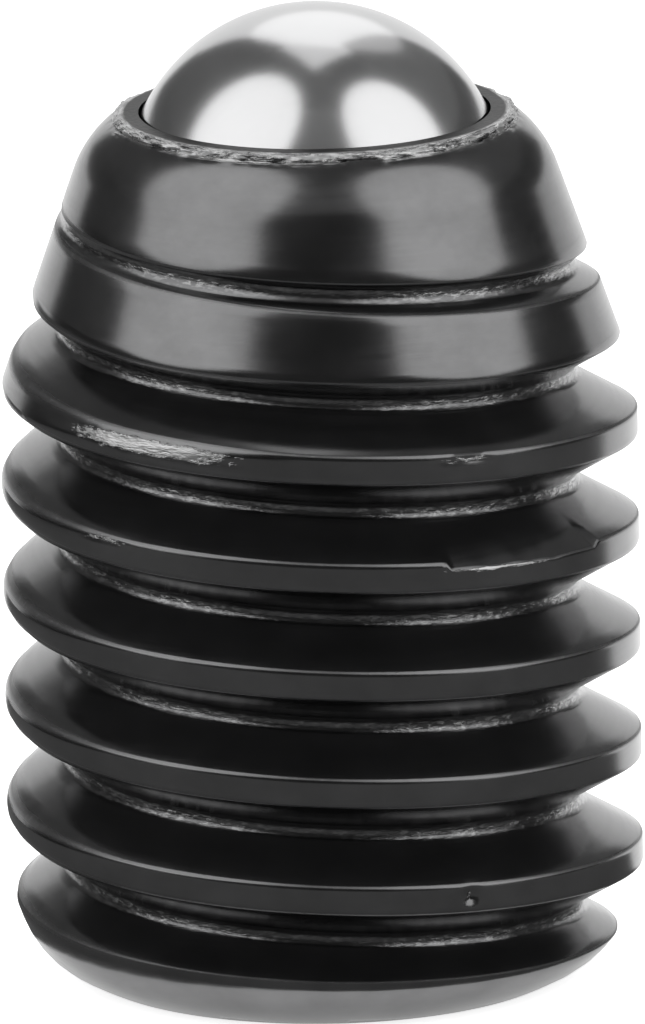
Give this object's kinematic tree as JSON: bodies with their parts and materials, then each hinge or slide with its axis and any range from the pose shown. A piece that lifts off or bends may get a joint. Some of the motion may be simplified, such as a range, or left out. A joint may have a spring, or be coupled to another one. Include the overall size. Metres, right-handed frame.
{
  "type": "ball-nose spring plunger",
  "caption": "Short threaded plunger with a bevelled end, a conical nose and a spring-loaded steel ball that presses in to index or hold a part.",
  "frame": {"origin": "centre of the flat end that it stands on, on the thread's axis", "axes": "+Z along the thread's axis from the flat end to the ball; -Y is the front; the thread rises clockwise seen from above"},
  "size_m": [0.0058, 0.0058, 0.009],
  "materials": {
    "black_oxide_steel": "black oxide, satin",
    "bearing_steel": "polished, slightly hazy",
    "spring_steel": "drawn wire"
  },
  "bodies": {
    "casing": {"threaded_body": "black_oxide_steel"},
    "spring_follower": {"spring": "spring_steel"},
    "ball": {"ball": "bearing_steel"}
  },
  "joints": [
    {"name": "ball_press", "type": "slide", "parent": "casing", "child": "spring_follower", "axis": [0, 0, 1], "range_m": [-0.0009, 0], "stiffness_N_per_m": 3500, "deforming": ["spring"]},
    {"name": "ball_roll", "type": "hinge", "parent": "spring_follower", "child": "ball", "pos_m": [0, 0, 0.00722], "axis": [0, 1, 0], "continuous": true}
  ]
}
